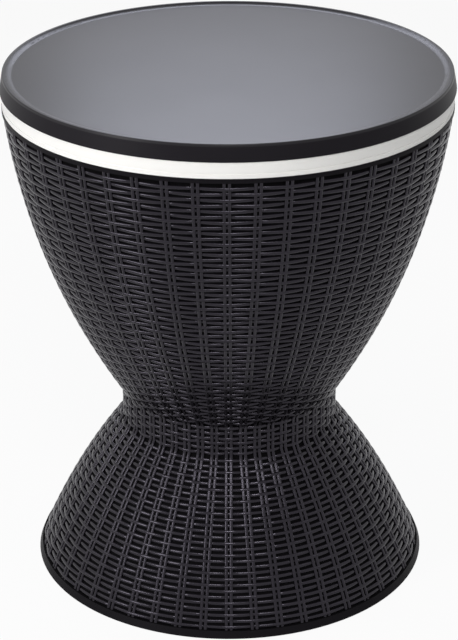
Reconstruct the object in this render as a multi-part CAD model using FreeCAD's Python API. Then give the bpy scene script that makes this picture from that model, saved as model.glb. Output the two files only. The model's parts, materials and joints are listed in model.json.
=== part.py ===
import FreeCAD, Part
import math
import os
from FreeCAD import Placement, Rotation, Vector

# Cooler table with lid, in millimetres, +Z up, origin on the floor at the centre of the foot.
# The stand is a moulded base and bowl that meet at a narrow waist. A white tub hangs in the bowl.
# The tabletop is the tub's lid: it rises on a pole in the middle and is turned to lock it.

# Heights, stacked from the floor
WAIST_HEIGHT = 190.0
BOWL_HEIGHT = 359.0
TUB_RIM_HEIGHT = 18.0
TABLETOP_HEIGHT = 18.0

# Outside, measured over the moulded weave
TABLETOP_RADIUS = 247.5
TUB_RIM_STEP = 1.0
BOWL_RIM_STEP = 0.5
WAIST_RADIUS = 119.0
WAIST_BAND_PROUD = 3.8
FOOT_RADIUS = 223.4
BASE_HOLLOW_RADIUS = 35.3
BASE_SWELL = math.radians(7.9)
BOWL_HOLLOW_RADIUS = 43.0
BOWL_SWELL = math.radians(13.2)
WEAVE_DEPTH = 2.8

# Base moulding
SHELL_WALL = 3.0
DECK_THICKNESS = 4.0
FOOT_BAND_HEIGHT = 8.0
FOOT_BAND_PROUD = 1.0
FOOT_FLANGE_WIDTH = 12.0
FOOT_FLANGE_THICKNESS = 4.0
BASE_RIB_COUNT = 6
BASE_RIB_THICKNESS = 3.0

# Bowl moulding
BOWL_FLOOR_THICKNESS = 4.0
BOWL_BAND_HEIGHT = 5.0

# Wicker pattern moulded on base and bowl: upright stakes in pairs, laid over level strands
STAKE_PAIR_COUNT = 48
STAKE_FIRST_TURN = -90.4
STAKE_WIDTH = 3.4
STAKE_GAP = 1.9
STAKE_INSET = 0.3
STRAND_INSET = 1.4
STRAND_HEIGHT = 3.9
STRAND_SPACING = 26.3

# Tub moulding
TUB_GAP = 14.0
TUB_WALL = 3.0
TUB_FLOOR_RISE = 24.0
TUB_FLOOR_THICKNESS = 3.0
TUB_CORNER_RADIUS = 12.0
TUB_RIM_DRAFT = 0.9
TUB_RIM_ROUND = 1.0
TUB_MOUTH_ROUND = 4.0
TUB_BEAD_HEIGHT = 4.4
TUB_GROOVE_WIDTH = 1.2
TUB_GROOVE_DEPTH = 0.9

# Column: fixed tube, its socket, and the white sleeve around it
TUBE_RADIUS = 33.0
TUBE_WALL = 3.0
KEY_COUNT = 3
KEY_HEIGHT = 2.5
KEY_WIDTH = 5.0
COLUMN_TOP_DROP = 29.0
SOCKET_DEPTH = 26.0
SOCKET_WALL = 4.0
TUBE_PIN_RADIUS = 3.0
TUBE_PIN_RISE = 10.0
SLEEVE_WALL = 3.0
SLEEVE_COLLAR_WALL = 13.5
SLEEVE_COLLAR_HEIGHT = 3.0
SLEEVE_TAIL = 11.0
SLEEVE_NUT_WALL = 9.0
SLEEVE_NUT_HEIGHT = 8.0
GASKET_THICKNESS = 1.5

# Sliding pole
POLE_RADIUS = 25.0
POLE_WALL = 2.5
LIFT_TRAVEL = 255.0
GUIDE_BUSH_LENGTH = 36.0
COLLAR_THICKNESS = 5.0
COLLAR_OVERHANG = 3.5
COLLAR_ROUND = 1.5
STOP_RING_HEIGHT = 4.0
STOP_RING_WALL = 2.2
LOCK_BUSH_LENGTH = 40.0
LOCK_CAM_HEIGHT = 10.0
LOCK_CAM_WALL = 1.4
LOCK_CAM_OFFSET = 0.6
POLE_CAP_THICKNESS = 4.0
POLE_CAP_SPIGOT = 12.0
POLE_CAP_SPIGOT_WALL = 2.5

# Tabletop
TABLETOP_DRAFT = 3.3
TABLETOP_WALL = 3.0
TABLETOP_EDGE_ROUND = 1.2
TRAY_DEPTH = 2.5
TRAY_LIP_TOP_WIDTH = 2.4
TRAY_LIP_SLOPE_WIDTH = 7.0
TRAY_LIP_SLOPE_SHARE = 0.25
UNDERSIDE_THICKNESS = 3.0
UNDERSIDE_RIB_COUNT = 12
UNDERSIDE_RIB_THICKNESS = 2.5
UNDERSIDE_HOOP_COUNT = 2
CENTRING_RING_DEPTH = 10.0
CENTRING_RING_WALL = 2.5
CENTRING_RING_GAP = 1.5
HUB_FLANGE_RADIUS = 60.0
HUB_FLANGE_THICKNESS = 5.0
HUB_WALL = 6.0
HUB_SOCKET_DROP = 19.0
HUB_ROOF = 3.0
HUB_PIN_RADIUS = 3.0
HUB_PIN_RISE = 7.0

# Screws
SCREW_RADIUS = 1.75
SCREW_HEAD_RADIUS = 3.5
SCREW_HEAD_HEIGHT = 2.6
SCREW_RECESS_WIDTH = 0.9
SCREW_RECESS_LENGTH = 4.2
SCREW_RECESS_DEPTH = 1.2
BOSS_RADIUS = 4.2
WAIST_SCREW_COUNT = 6
WAIST_SCREW_CIRCLE = 58.0
WAIST_BOSS_HEIGHT = 7.5
HUB_SCREW_COUNT = 6
HUB_SCREW_CIRCLE = 46.0
TOP_SCREW_INSET = 15.0
SCREW_TIP_GAP = 1.5

# Drain at the rear, square to the bowl's wall
DRAIN_RISE = 32.0
DRAIN_BORE_RADIUS = 6.0
DRAIN_PIPE_WALL = 2.5
DRAIN_BOSS_RADIUS = 15.0
DRAIN_BOSS_PROUD = 4.0
DRAIN_PAD_THICKNESS = 4.0
DRAIN_FLANGE_RADIUS = 13.5
DRAIN_FLANGE_THICKNESS = 3.0
DRAIN_NUT_SIDES = 6
DRAIN_NUT_WIDTH = 22.0
DRAIN_NUT_HEIGHT = 5.0
DRAIN_PIPE_TAIL = 1.0
PLUG_HEAD_RADIUS = 12.0
PLUG_HEAD_THICKNESS = 3.0
PLUG_STEM_LENGTH = 16.0
PLUG_GRIP_WIDTH = 16.0
PLUG_GRIP_THICKNESS = 4.0
PLUG_GRIP_HEIGHT = 9.0
PLUG_SEAL_THICKNESS = 1.2
PLUG_SEAL_WIDTH = 3.0

# Clearances
SEAT_CLEARANCE = 0.1
HOLE_CLEARANCE = 0.3
SLIDE_CLEARANCE = 0.08
KEY_CLEARANCE = 0.15
FACE_CLEARANCE = 0.2
POLE_END_GAP = 2.0
SCREW_CLEARANCE = 0.05
SCREW_HOLE_CLEARANCE = 0.2

# Places worked out from the sizes above
BOWL_RIM_LEVEL = WAIST_HEIGHT + BOWL_HEIGHT
TABLETOP_LEVEL = BOWL_RIM_LEVEL + TUB_RIM_HEIGHT
TOP_LEVEL = TABLETOP_LEVEL + TABLETOP_HEIGHT
DECK_LEVEL = WAIST_HEIGHT - DECK_THICKNESS
BOWL_FLOOR_LEVEL = WAIST_HEIGHT + BOWL_FLOOR_THICKNESS
TUB_FLOOR_UNDERSIDE = WAIST_HEIGHT + TUB_FLOOR_RISE
TUB_FLOOR_LEVEL = TUB_FLOOR_UNDERSIDE + TUB_FLOOR_THICKNESS
TUB_RIM_RADIUS = TABLETOP_RADIUS - TUB_RIM_STEP
BOWL_RIM_RADIUS = TUB_RIM_RADIUS - BOWL_RIM_STEP
COLUMN_TOP = TABLETOP_LEVEL - COLUMN_TOP_DROP
SOCKET_BORE = TUBE_RADIUS + SEAT_CLEARANCE
SOCKET_RADIUS = SOCKET_BORE + SOCKET_WALL
TUBE_BORE = TUBE_RADIUS - TUBE_WALL
KEY_RADIUS = TUBE_BORE - KEY_HEIGHT
COLUMN_HOLE = TUBE_RADIUS + HOLE_CLEARANCE
SLEEVE_BORE = TUBE_RADIUS + HOLE_CLEARANCE
SLEEVE_RADIUS = SLEEVE_BORE + SLEEVE_WALL
SLEEVE_THREAD = SLEEVE_RADIUS + SEAT_CLEARANCE
SLEEVE_COLLAR_LEVEL = TUB_FLOOR_LEVEL + GASKET_THICKNESS
GUIDE_FOOT = COLUMN_TOP - GUIDE_BUSH_LENGTH
STOP_RING_TOP = GUIDE_FOOT - LIFT_TRAVEL - FACE_CLEARANCE
LOCK_BUSH_TOP = STOP_RING_TOP - STOP_RING_HEIGHT - FACE_CLEARANCE
LOCK_CAM_TOP = LOCK_BUSH_TOP - LOCK_BUSH_LENGTH - FACE_CLEARANCE
POLE_FOOT = LOCK_CAM_TOP - LOCK_CAM_HEIGHT
POLE_END = POLE_FOOT - POLE_CAP_THICKNESS
TUBE_PIN_LEVEL = min(DECK_LEVEL - SOCKET_DEPTH + TUBE_PIN_RISE, POLE_END - POLE_END_GAP - TUBE_PIN_RADIUS)
TUBE_FOOT = TUBE_PIN_LEVEL - TUBE_PIN_RISE
SOCKET_FOOT = TUBE_FOOT - SOCKET_WALL
TRAY_LEVEL = TOP_LEVEL - TRAY_DEPTH
SKIN_UNDERSIDE = TRAY_LEVEL - TABLETOP_WALL
UNDERSIDE_TOP = TABLETOP_LEVEL + UNDERSIDE_THICKNESS
HUB_FLANGE_LEVEL = TABLETOP_LEVEL - HUB_FLANGE_THICKNESS
HUB_FOOT = TABLETOP_LEVEL - HUB_SOCKET_DROP
HUB_RADIUS = POLE_RADIUS + SEAT_CLEARANCE + HUB_WALL
POLE_TOP = SKIN_UNDERSIDE - FACE_CLEARANCE - HUB_ROOF
HUB_PIN_LEVEL = HUB_FOOT + HUB_PIN_RISE
WALL_INSET = WEAVE_DEPTH + SHELL_WALL
TUB_BACK_INSET = WALL_INSET + TUB_GAP
TUB_INSET = TUB_BACK_INSET + TUB_WALL
DRAIN_PIPE_RADIUS = DRAIN_BORE_RADIUS + DRAIN_PIPE_WALL
DRAIN_HOLE_RADIUS = DRAIN_PIPE_RADIUS + HOLE_CLEARANCE
DRAIN_LEVEL = WAIST_HEIGHT + DRAIN_RISE

UP = Vector(0, 0, 1)
ORIGIN = Vector(0, 0, 0)


# Drawing helpers

def at(radius, height):
    """Point of an outline: distance from the axis, and height."""
    return Vector(radius, 0, height)


def path(*points):
    """Straight edges from point to point."""
    return [Part.makeLine(a, b) for a, b in zip(points, points[1:])]


def arc(start, middle, end):
    """One arc through three points."""
    return [Part.Arc(start, middle, end).toShape()]


def corner_arc(centre, radius, first, last):
    """Arc about a centre, between two angles in degrees, counted from outwards to upwards."""
    def place(angle):
        turn = math.radians(angle)
        return centre + Vector(radius * math.cos(turn), 0, radius * math.sin(turn))
    return arc(place(first), place((first + last) / 2), place(last))


def turned(edges):
    """Solid of revolution about the upright axis, from the edges of a closed outline."""
    solid = Part.Face(Part.Wire(edges)).revolve(ORIGIN, UP, 360)
    if solid.Volume < 0:
        solid.reverse()
    return solid


def ring(inner, outer, bottom, top):
    """Upright tube with flat ends."""
    corners = [at(inner, bottom), at(outer, bottom), at(outer, top), at(inner, top), at(inner, bottom)]
    return turned(path(*corners))


def disc(radius, bottom, top, centre=ORIGIN):
    """Upright cylinder."""
    return Part.makeCylinder(radius, top - bottom, centre + Vector(0, 0, bottom))


def block(length, width, bottom, top, start=0.0):
    """Block along +X from a distance off the axis, centred across it."""
    return Part.makeBox(length, width, top - bottom, Vector(start, -width / 2, bottom))


def around(shape, count, first=0.0):
    """Copies of a shape, evenly spaced about the upright axis, the first turned by some degrees."""
    copies = []
    for index in range(count):
        copy = shape.copy()
        copy.rotate(ORIGIN, UP, first + index * 360 / count)
        copies.append(copy)
    return copies


def half_pitch(count):
    """Half of the angle between neighbours, in degrees."""
    return 180 / count


def place_on_circle(radius):
    """Point on the +X side, at a distance from the axis."""
    return Vector(radius, 0, 0)


class Side:
    """Outside of the base or bowl in section: an upright band, a hollow arc and a swelling arc.

    The band fills the bottom of the hollow at the waist. Distances are counted away from the
    waist. An inset gives the surface that lies that far behind the outside, square to it.
    """

    def __init__(self, end_radius, rise, hollow_radius, swell):
        self.direction = math.copysign(1, rise)
        self.hollow_radius = hollow_radius
        self.hollow_centre = WAIST_RADIUS + hollow_radius
        self.band_radius = WAIST_RADIUS + WAIST_BAND_PROUD
        across = end_radius - self.hollow_centre
        reach = math.hypot(across, rise)
        chord = math.atan2(across, abs(rise)) + math.asin(hollow_radius * math.cos(swell) / reach)
        self.turn = chord + swell
        join_radius = self.hollow_centre - hollow_radius * math.cos(self.turn)
        join_distance = hollow_radius * math.sin(self.turn)
        span = math.hypot(end_radius - join_radius, abs(rise) - join_distance)
        self.swell_radius = span / (2 * math.sin(swell))
        self.swell_centre_radius = join_radius - self.swell_radius * math.cos(self.turn)
        self.swell_centre_distance = join_distance + self.swell_radius * math.sin(self.turn)

    def band_distance(self, inset):
        """Distance from the waist at which the band meets the hollow arc."""
        across = self.hollow_centre - self.band_radius + inset
        return math.sqrt((self.hollow_radius + inset) ** 2 - across ** 2)

    def join_level(self, inset):
        """Height at which the two arcs meet."""
        return WAIST_HEIGHT + self.direction * (self.hollow_radius + inset) * math.sin(self.turn)

    def radius(self, height, inset=0.0):
        """Distance from the axis at a height."""
        distance = self.direction * (height - WAIST_HEIGHT)
        if distance < self.band_distance(inset):
            return self.band_radius - inset
        if distance < self.direction * (self.join_level(inset) - WAIST_HEIGHT):
            return self.hollow_centre - math.sqrt((self.hollow_radius + inset) ** 2 - distance ** 2)
        beyond = distance - self.swell_centre_distance
        return self.swell_centre_radius + math.sqrt((self.swell_radius - inset) ** 2 - beyond ** 2)

    def slope(self, height):
        """Lean of the outside from upright, in radians."""
        distance = self.direction * (height - WAIST_HEIGHT)
        if distance < self.band_distance(0.0):
            return 0.0
        if distance < self.direction * (self.join_level(0.0) - WAIST_HEIGHT):
            return math.asin(distance / self.hollow_radius)
        return math.asin((self.swell_centre_distance - distance) / self.swell_radius)

    def point(self, height, inset):
        """Point of the section at a height."""
        return at(self.radius(height, inset), height)

    def edges(self, start, end, inset):
        """Band and arcs of the section from one height to another."""
        band = self.band_distance(inset)
        bends = (WAIST_HEIGHT + self.direction * band, self.join_level(inset))
        passed = [level for level in bends if min(start, end) < level < max(start, end)]
        levels = sorted([start, end] + passed, reverse=start > end)
        edges = []
        for first, last in zip(levels, levels[1:]):
            middle = (first + last) / 2
            if abs(middle - WAIST_HEIGHT) < band:
                edges += path(self.point(first, inset), self.point(last, inset))
            else:
                edges += arc(self.point(first, inset), self.point(middle, inset), self.point(last, inset))
        return edges


BASE_SIDE = Side(FOOT_RADIUS, -WAIST_HEIGHT, BASE_HOLLOW_RADIUS, BASE_SWELL)
BOWL_SIDE = Side(BOWL_RIM_RADIUS, BOWL_HEIGHT, BOWL_HOLLOW_RADIUS, BOWL_SWELL)

# Places in the lid that follow the tub's mouth
CENTRING_RING_FOOT = TABLETOP_LEVEL - CENTRING_RING_DEPTH
CENTRING_RING_RADIUS = BOWL_SIDE.radius(CENTRING_RING_FOOT, TUB_INSET) - CENTRING_RING_GAP
TOP_SCREW_CIRCLE = CENTRING_RING_RADIUS - TOP_SCREW_INSET
UNDERSIDE_HOOP_STEP = (TOP_SCREW_CIRCLE - HUB_FLANGE_RADIUS) / (UNDERSIDE_HOOP_COUNT + 1)


# Screws, all driven from below

def screw(seat, tip, circle):
    """Pan-head screw with a cross recess, its head under the seat level."""
    head = disc(SCREW_HEAD_RADIUS, seat - SCREW_HEAD_HEIGHT, seat)
    shank = disc(SCREW_RADIUS, seat, tip)
    bottom = seat - SCREW_HEAD_HEIGHT
    slot = block(SCREW_RECESS_LENGTH, SCREW_RECESS_WIDTH, bottom, bottom + SCREW_RECESS_DEPTH,
                 -SCREW_RECESS_LENGTH / 2)
    cross = slot.copy()
    cross.rotate(ORIGIN, UP, 90)
    shape = head.fuse(shank).cut(slot).cut(cross)
    shape.translate(place_on_circle(circle))
    return shape


def passing_holes(count, circle, bottom, top, first=0.0):
    """Holes that the screws pass through."""
    radius = SCREW_RADIUS + SCREW_HOLE_CLEARANCE
    return around(disc(radius, bottom, top, place_on_circle(circle)), count, first)


def screw_bosses(count, circle, bottom, top, first=0.0):
    """Bosses that the screws bite into."""
    return around(disc(BOSS_RADIUS, bottom, top, place_on_circle(circle)), count, first)


def pilot_holes(count, circle, bottom, top, first=0.0):
    """Holes in the bosses, as wide as the screws."""
    radius = SCREW_RADIUS + SCREW_CLEARANCE
    return around(disc(radius, bottom, top, place_on_circle(circle)), count, first)


# Drain pieces are made along +Z from the bowl's outside, then turned to stand square to the wall

def on_drain(shape):
    """Shape moved from the upright axis to the drain's axis, which points out and down at the rear."""
    lean = BOWL_SIDE.slope(DRAIN_LEVEL)
    outward = Vector(0, math.cos(lean), -math.sin(lean))
    place = Vector(0, BOWL_SIDE.radius(DRAIN_LEVEL), DRAIN_LEVEL)
    placed = shape.copy()
    placed.Placement = Placement(place, Rotation(UP, outward))
    return placed


# Base

def base_rib():
    """Upright web under the deck, from the socket to the wall."""
    start = SOCKET_BORE + SOCKET_WALL / 2
    web = block(FOOT_RADIUS - start, BASE_RIB_THICKNESS, SOCKET_FOOT, DECK_LEVEL, start)
    inside = turned(
        BASE_SIDE.edges(WAIST_HEIGHT, 0, WEAVE_DEPTH)
        + path(BASE_SIDE.point(0, WEAVE_DEPTH), at(0, 0), at(0, WAIST_HEIGHT),
               BASE_SIDE.point(WAIST_HEIGHT, WEAVE_DEPTH)))
    return web.common(inside)


def base_shell():
    """Hollow base: foot band and flange, wall, deck with the column's socket, ribs under the deck."""
    band_top = BASE_SIDE.point(FOOT_BAND_HEIGHT, -FOOT_BAND_PROUD)
    flange_top = BASE_SIDE.point(FOOT_FLANGE_THICKNESS, WALL_INSET)
    flange_edge = flange_top.x - FOOT_FLANGE_WIDTH
    outline = path(BASE_SIDE.point(0, -FOOT_BAND_PROUD), band_top,
                   BASE_SIDE.point(FOOT_BAND_HEIGHT, WEAVE_DEPTH))
    outline += BASE_SIDE.edges(FOOT_BAND_HEIGHT, WAIST_HEIGHT, WEAVE_DEPTH)
    outline += path(BASE_SIDE.point(WAIST_HEIGHT, WEAVE_DEPTH), at(SOCKET_BORE, WAIST_HEIGHT),
                    at(SOCKET_BORE, TUBE_FOOT), at(0, TUBE_FOOT), at(0, SOCKET_FOOT),
                    at(SOCKET_RADIUS, SOCKET_FOOT), at(SOCKET_RADIUS, DECK_LEVEL),
                    BASE_SIDE.point(DECK_LEVEL, WALL_INSET))
    outline += BASE_SIDE.edges(DECK_LEVEL, FOOT_FLANGE_THICKNESS, WALL_INSET)
    outline += path(flange_top, at(flange_edge, FOOT_FLANGE_THICKNESS), at(flange_edge, 0),
                    BASE_SIDE.point(0, -FOOT_BAND_PROUD))
    shell = turned(outline).multiFuse(around(base_rib(), BASE_RIB_COUNT, half_pitch(BASE_RIB_COUNT)))
    holes = passing_holes(WAIST_SCREW_COUNT, WAIST_SCREW_CIRCLE, DECK_LEVEL, WAIST_HEIGHT)
    return shell.cut(holes + [across_socket(TUBE_PIN_RADIUS + SEAT_CLEARANCE)])


def across_socket(radius):
    """Rod from side to side through the socket, at the cross pin's place."""
    start = Vector(0, -SOCKET_RADIUS, TUBE_PIN_LEVEL)
    return Part.makeCylinder(radius, 2 * SOCKET_RADIUS, start, Vector(0, 1, 0))


def tube_pin():
    """Cross pin that holds the tube in its socket."""
    return across_socket(TUBE_PIN_RADIUS)


def waist_screws():
    """Screws up through the deck and the bowl's floor."""
    tip = BOWL_FLOOR_LEVEL + WAIST_BOSS_HEIGHT - SCREW_TIP_GAP
    return Part.makeCompound(around(screw(DECK_LEVEL, tip, WAIST_SCREW_CIRCLE), WAIST_SCREW_COUNT))


# Bowl

def bowl_shell():
    """Hollow bowl: floor at the waist, wall, plain rim band, screw bosses and drain boss."""
    band_level = BOWL_RIM_LEVEL - BOWL_BAND_HEIGHT
    outline = BOWL_SIDE.edges(WAIST_HEIGHT, band_level, WEAVE_DEPTH)
    outline += path(BOWL_SIDE.point(band_level, WEAVE_DEPTH), at(BOWL_RIM_RADIUS, band_level),
                    at(BOWL_RIM_RADIUS, BOWL_RIM_LEVEL), BOWL_SIDE.point(BOWL_RIM_LEVEL, WALL_INSET))
    outline += BOWL_SIDE.edges(BOWL_RIM_LEVEL, BOWL_FLOOR_LEVEL, WALL_INSET)
    outline += path(BOWL_SIDE.point(BOWL_FLOOR_LEVEL, WALL_INSET), at(COLUMN_HOLE, BOWL_FLOOR_LEVEL),
                    at(COLUMN_HOLE, WAIST_HEIGHT), BOWL_SIDE.point(WAIST_HEIGHT, WEAVE_DEPTH))
    boss_top = BOWL_FLOOR_LEVEL + WAIST_BOSS_HEIGHT
    bosses = screw_bosses(WAIST_SCREW_COUNT, WAIST_SCREW_CIRCLE, WAIST_HEIGHT, boss_top)
    drain_boss = on_drain(disc(DRAIN_BOSS_RADIUS, -WALL_INSET - DRAIN_PAD_THICKNESS, DRAIN_BOSS_PROUD))
    drain_hole = on_drain(disc(DRAIN_HOLE_RADIUS, -TUB_BACK_INSET, DRAIN_BOSS_PROUD))
    pilots = pilot_holes(WAIST_SCREW_COUNT, WAIST_SCREW_CIRCLE, WAIST_HEIGHT, boss_top)
    return turned(outline).multiFuse(bosses + [drain_boss]).cut(pilots + [drain_hole])


# Wicker pattern

def stake(side, low, high):
    """Bar that follows the wall from one height to another, the right one of a pair."""
    outline = side.edges(low, high, STAKE_INSET)
    outline += path(side.point(high, STAKE_INSET), side.point(high, STRAND_INSET))
    outline += side.edges(high, low, STRAND_INSET)
    outline += path(side.point(low, STRAND_INSET), side.point(low, STAKE_INSET))
    face = Part.Face(Part.Wire(outline))
    face.translate(Vector(0, STAKE_GAP / 2, 0))
    return face.extrude(Vector(0, STAKE_WIDTH, 0))


def strand(side, level):
    """Level band around the wall, under the stakes."""
    low = level - STRAND_HEIGHT / 2
    high = level + STRAND_HEIGHT / 2
    back = WEAVE_DEPTH - FACE_CLEARANCE
    outline = side.edges(low, high, STRAND_INSET)
    outline += path(side.point(high, STRAND_INSET), side.point(high, back))
    outline += side.edges(high, low, back)
    outline += path(side.point(low, back), side.point(low, STRAND_INSET))
    return turned(outline)


def strand_levels(side, low, high):
    """Heights of the strands, at even steps along the wall."""
    wall = Part.Wire(side.edges(low, high, 0.0))
    steps = round(wall.Length / STRAND_SPACING)
    return [point.z for point in wall.discretize(steps + 1)[1:-1]]


def weave(side, low, high):
    """Stakes and strands of one moulding, clear of the drain's boss."""
    right = stake(side, low, high)
    left = right.mirror(ORIGIN, Vector(0, 1, 0))
    pieces = around(right, STAKE_PAIR_COUNT, STAKE_FIRST_TURN)
    pieces += around(left, STAKE_PAIR_COUNT, STAKE_FIRST_TURN)
    pieces += [strand(side, level) for level in strand_levels(side, low, high)]
    boss = on_drain(disc(DRAIN_BOSS_RADIUS + HOLE_CLEARANCE, -WALL_INSET, DRAIN_BOSS_PROUD))
    near = boss.BoundBox
    clear = [piece.cut(boss) if piece.BoundBox.intersect(near) else piece for piece in pieces]
    return Part.makeCompound([solid for piece in clear for solid in piece.Solids])


def base_weave():
    """Wicker pattern of the base, from the foot band to the waist."""
    return weave(BASE_SIDE, FOOT_BAND_HEIGHT, WAIST_HEIGHT)


def bowl_weave():
    """Wicker pattern of the bowl, from the waist to the rim band."""
    return weave(BOWL_SIDE, WAIST_HEIGHT, BOWL_RIM_LEVEL - BOWL_BAND_HEIGHT)


# Tub

def tub_rim_outline(inner_top):
    """Section of the white rim, from its lower outer edge round to the mouth of the tub."""
    foot = TUB_RIM_RADIUS - TUB_RIM_DRAFT
    groove_bottom = BOWL_RIM_LEVEL + TUB_BEAD_HEIGHT
    groove_top = groove_bottom + TUB_GROOVE_WIDTH
    shoulder = TABLETOP_LEVEL - TUB_RIM_ROUND
    edges = path(at(foot, BOWL_RIM_LEVEL), at(foot, groove_bottom))
    edges += arc(at(foot, groove_bottom), at(foot - TUB_GROOVE_DEPTH, groove_bottom + TUB_GROOVE_WIDTH / 2),
                 at(foot, groove_top))
    edges += path(at(foot, groove_top), at(TUB_RIM_RADIUS, shoulder))
    edges += corner_arc(at(TUB_RIM_RADIUS - TUB_RIM_ROUND, shoulder), TUB_RIM_ROUND, 0, 90)
    mouth = at(inner_top + TUB_MOUTH_ROUND, TABLETOP_LEVEL - TUB_MOUTH_ROUND)
    edges += path(at(TUB_RIM_RADIUS - TUB_RIM_ROUND, TABLETOP_LEVEL), mouth + Vector(0, 0, TUB_MOUTH_ROUND))
    edges += corner_arc(mouth, TUB_MOUTH_ROUND, 90, 180)
    return edges


def cooler_liner():
    """White tub that hangs in the bowl by its rim, with a flat floor and a rounded corner."""
    wall_top = TABLETOP_LEVEL - TUB_MOUTH_ROUND
    inner_top = BOWL_SIDE.radius(wall_top, TUB_INSET)
    rim_under = TABLETOP_LEVEL - TUB_WALL
    skirt = TUB_RIM_RADIUS - TUB_RIM_DRAFT - TUB_WALL
    hole = SLEEVE_RADIUS + HOLE_CLEARANCE
    outline = tub_rim_outline(inner_top)
    outline += BOWL_SIDE.edges(wall_top, TUB_FLOOR_LEVEL, TUB_INSET)
    outline += path(BOWL_SIDE.point(TUB_FLOOR_LEVEL, TUB_INSET), at(hole, TUB_FLOOR_LEVEL),
                    at(hole, TUB_FLOOR_UNDERSIDE), BOWL_SIDE.point(TUB_FLOOR_UNDERSIDE, TUB_BACK_INSET))
    outline += BOWL_SIDE.edges(TUB_FLOOR_UNDERSIDE, rim_under, TUB_BACK_INSET)
    outline += path(BOWL_SIDE.point(rim_under, TUB_BACK_INSET), at(skirt, rim_under),
                    at(skirt, BOWL_RIM_LEVEL), at(TUB_RIM_RADIUS - TUB_RIM_DRAFT, BOWL_RIM_LEVEL))
    tub = round_corners(turned(outline))
    pad = on_drain(disc(DRAIN_BOSS_RADIUS, -TUB_INSET - DRAIN_PAD_THICKNESS, -TUB_BACK_INSET))
    hole_end = TUB_INSET + DRAIN_PAD_THICKNESS
    drain_hole = on_drain(disc(DRAIN_HOLE_RADIUS, -hole_end, -WALL_INSET))
    return tub.fuse(pad).cut(drain_hole)


def round_corners(tub):
    """Tub with the corner between floor and wall rounded, inside and outside."""
    inside = BOWL_SIDE.point(TUB_FLOOR_LEVEL, TUB_INSET)
    outside = BOWL_SIDE.point(TUB_FLOOR_UNDERSIDE, TUB_BACK_INSET)
    outside_radius = TUB_CORNER_RADIUS + TUB_FLOOR_THICKNESS
    for corner, radius in ((inside, TUB_CORNER_RADIUS), (outside, outside_radius)):
        edges = [edge for edge in tub.Edges if is_circle_through(edge, corner)]
        tub = tub.makeFillet(radius, edges)
    return tub


def is_circle_through(edge, corner):
    """Whether an edge is the full circle that a point of the outline draws."""
    if not isinstance(edge.Curve, Part.Circle):
        return False
    same_radius = abs(edge.Curve.Radius - corner.x) < FACE_CLEARANCE
    same_level = abs(edge.Curve.Center.z - corner.z) < FACE_CLEARANCE
    return same_radius and same_level


# Column

def keys(bottom, top, clearance):
    """Bars that stand inside the tube, or with a clearance the grooves that run over them."""
    inner = KEY_RADIUS - clearance
    bar = block(TUBE_RADIUS - inner, KEY_WIDTH + 2 * clearance, bottom, top, inner)
    return around(bar, KEY_COUNT)


def outer_tube():
    """Fixed column tube with three keys inside."""
    radius = TUBE_RADIUS
    tube = ring(TUBE_BORE, radius, TUBE_FOOT, COLUMN_TOP)
    bars = [bar.common(disc(radius, TUBE_FOOT, COLUMN_TOP)) for bar in keys(TUBE_FOOT, COLUMN_TOP, 0.0)]
    return tube.multiFuse(bars).cut(across_socket(TUBE_PIN_RADIUS + SEAT_CLEARANCE))


def guide_bush():
    """Bush in the tube's upper end, with a collar that covers the ends of tube and sleeve."""
    bore = POLE_RADIUS + SLIDE_CLEARANCE
    insert = TUBE_BORE - SEAT_CLEARANCE
    collar = SLEEVE_RADIUS + COLLAR_OVERHANG
    top = COLUMN_TOP + COLLAR_THICKNESS
    outline = path(at(bore, GUIDE_FOOT), at(insert, GUIDE_FOOT), at(insert, COLUMN_TOP),
                   at(collar, COLUMN_TOP), at(collar, top - COLLAR_ROUND))
    outline += corner_arc(at(collar - COLLAR_ROUND, top - COLLAR_ROUND), COLLAR_ROUND, 0, 90)
    outline += path(at(collar - COLLAR_ROUND, top), at(bore, top), at(bore, GUIDE_FOOT))
    return turned(outline).cut(keys(GUIDE_FOOT, COLUMN_TOP, KEY_CLEARANCE))


def column_sleeve():
    """White sleeve around the column, down through the tub floor."""
    return ring(SLEEVE_BORE, SLEEVE_RADIUS, TUB_FLOOR_UNDERSIDE - SLEEVE_TAIL, COLUMN_TOP)


def sleeve_collar():
    """Ring fixed to the sleeve, which the nut below pulls down on the tub floor."""
    outside = SLEEVE_THREAD + SLEEVE_COLLAR_WALL
    return ring(SLEEVE_THREAD, outside, SLEEVE_COLLAR_LEVEL, SLEEVE_COLLAR_LEVEL + SLEEVE_COLLAR_HEIGHT)


def sleeve_gasket():
    """Seal between the sleeve's collar and the tub floor."""
    return ring(SLEEVE_THREAD, SLEEVE_THREAD + SLEEVE_COLLAR_WALL, TUB_FLOOR_LEVEL, SLEEVE_COLLAR_LEVEL)


def sleeve_nut():
    """Ring nut on the sleeve, under the tub floor."""
    outside = SLEEVE_THREAD + SLEEVE_NUT_WALL
    return ring(SLEEVE_THREAD, outside, TUB_FLOOR_UNDERSIDE - SLEEVE_NUT_HEIGHT, TUB_FLOOR_UNDERSIDE)


# Pole and lock

def lock_bush():
    """Keyed bush that slides in the tube without turning; the pole turns in its bore."""
    bush = ring(POLE_RADIUS + SLIDE_CLEARANCE, TUBE_BORE - SLIDE_CLEARANCE,
                LOCK_BUSH_TOP - LOCK_BUSH_LENGTH, LOCK_BUSH_TOP)
    return bush.cut(keys(LOCK_BUSH_TOP - LOCK_BUSH_LENGTH, LOCK_BUSH_TOP, KEY_CLEARANCE))


def hub_pin_hole():
    """Hole for the cross pin through hub and pole."""
    radius = HUB_PIN_RADIUS + SEAT_CLEARANCE
    return Part.makeCylinder(radius, 2 * HUB_RADIUS, Vector(-HUB_RADIUS, 0, HUB_PIN_LEVEL), Vector(1, 0, 0))


def inner_pole():
    """Pole that carries the tabletop."""
    return ring(POLE_RADIUS - POLE_WALL, POLE_RADIUS, POLE_FOOT, POLE_TOP).cut(hub_pin_hole())


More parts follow.
